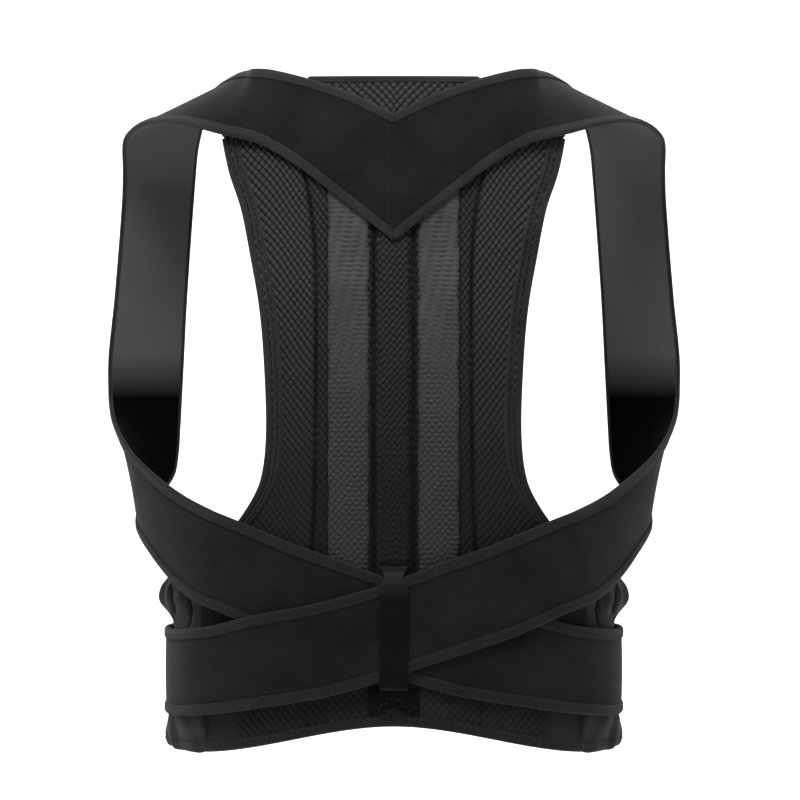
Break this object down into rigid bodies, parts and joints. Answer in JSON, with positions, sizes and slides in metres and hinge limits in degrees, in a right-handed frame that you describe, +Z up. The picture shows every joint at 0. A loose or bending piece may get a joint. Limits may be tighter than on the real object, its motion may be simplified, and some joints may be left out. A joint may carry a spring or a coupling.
{
  "type": "posture corrector",
  "caption": "Back and shoulder brace: hourglass mesh back panel, wide shoulder straps that cross on the lower back, and a gathered waist belt that laps at the front.",
  "frame": {"origin": "middle of the shoulder line, between the two shoulders, half way between the wearer's chest and back", "axes": "+Z up along the wearer's back, +Y the way the wearer faces, +X to the right in a view from behind"},
  "size_m": [0.3874, 0.2186, 0.4422],
  "materials": {
    "spacer_mesh": "black 3-D spacer mesh with a raised diamond lattice",
    "edge_tape": "dark grey folded binding tape with a sewn row",
    "stay_cover_knit": "grey ribbed knit with a slight sheen",
    "belt_cloth": "dark grey padded cloth, gathered",
    "strap_cloth": "black felted loop cloth, grey on the inner side",
    "loop_webbing": "black narrow webbing",
    "hook_tape": "black hook tape"
  },
  "bodies": {
    "root": {"back_panel": "spacer_mesh", "centre_channel": "spacer_mesh", "panel_binding_left": "edge_tape", "panel_binding_right": "edge_tape", "panel_binding_top": "edge_tape", "panel_binding_hem": "edge_tape", "stay_cover_left": "stay_cover_knit", "stay_cover_right": "stay_cover_knit", "belt_wing_left": "belt_cloth", "belt_wing_right": "belt_cloth", "belt_binding_left": "edge_tape", "belt_binding_right": "edge_tape", "strap_left": "strap_cloth", "strap_right": "strap_cloth", "strap_binding_arm_left": "edge_tape", "strap_binding_arm_right": "edge_tape", "strap_binding_neck_left": "edge_tape", "strap_binding_neck_right": "edge_tape", "crossing_loop": "loop_webbing", "strap_tab_left": "hook_tape", "strap_tab_right": "hook_tape", "closure_tab": "hook_tape"}
  },
  "joints": []
}
